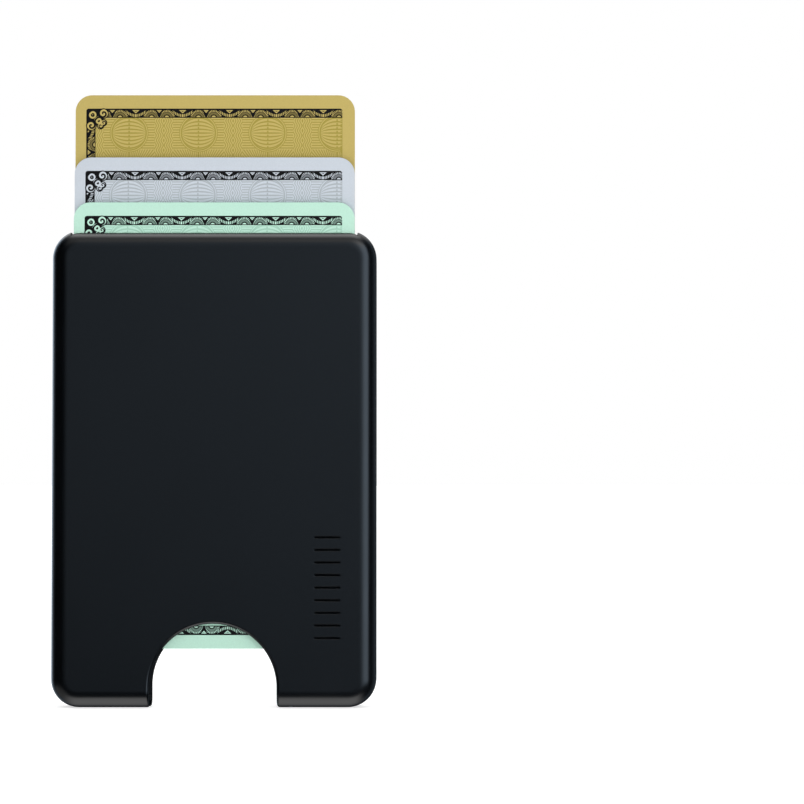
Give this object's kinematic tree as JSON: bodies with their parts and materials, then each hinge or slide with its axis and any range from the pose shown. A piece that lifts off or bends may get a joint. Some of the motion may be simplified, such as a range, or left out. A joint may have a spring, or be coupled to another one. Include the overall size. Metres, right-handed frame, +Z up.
{
  "type": "card wallet",
  "caption": "Flat upright card wallet with a rounded front shell, a top slot holding fanned cards, a thumb notch and a magnetic back pad.",
  "frame": {"origin": "middle of the bottom edge, halfway through the thickness", "axes": "+Z up towards the card mouth, -Y out of the front wall, +Y out of the back pad, +X to the right seen from the front"},
  "size_m": [0.0624, 0.0072, 0.1179],
  "materials": {
    "soft_touch": "soft-touch matte black",
    "frame_plastic": "fine textured black",
    "silicone": "matte silicone",
    "steel": "rolled sheet",
    "carrier_plastic": "plain moulded",
    "nickel": "nickel plated",
    "cover_plastic": "satin black",
    "adhesive": "clear film adhesive",
    "pad": "flat black, very fine grain",
    "card_green": "satin print, mint",
    "card_silver": "satin print, silver",
    "card_gold": "satin print, gold"
  },
  "bodies": {
    "wallet": {"front_shell": "soft_touch", "card_frame": "frame_plastic", "grip_strip_left": "silicone", "grip_strip_right": "silicone", "shield_plate": "steel", "magnet_carrier": "carrier_plastic", "magnet_01": "nickel", "magnet_02": "nickel", "magnet_03": "nickel", "magnet_04": "nickel", "magnet_05": "nickel", "magnet_06": "nickel", "magnet_07": "nickel", "magnet_08": "nickel", "magnet_09": "nickel", "magnet_10": "nickel", "magnet_11": "nickel", "magnet_12": "nickel", "magnet_13": "nickel", "magnet_14": "nickel", "magnet_15": "nickel", "magnet_16": "nickel", "alignment_magnet": "nickel", "back_cover": "cover_plastic", "adhesive_sheet": "adhesive", "back_pad": "pad"},
    "card_green": {"card_green": "card_green"},
    "card_silver": {"card_silver": "card_silver"},
    "card_gold": {"card_gold": "card_gold"}
  },
  "joints": [
    {"name": "card_green_slide", "type": "slide", "parent": "wallet", "child": "card_green", "axis": [0, 0, 1], "range_m": [-0.0089, 0.0808]},
    {"name": "card_silver_slide", "type": "slide", "parent": "wallet", "child": "card_silver", "axis": [0, 0, 1], "range_m": [-0.0177, 0.072]},
    {"name": "card_gold_slide", "type": "slide", "parent": "wallet", "child": "card_gold", "axis": [0, 0, 1], "range_m": [-0.0299, 0.0598]}
  ]
}
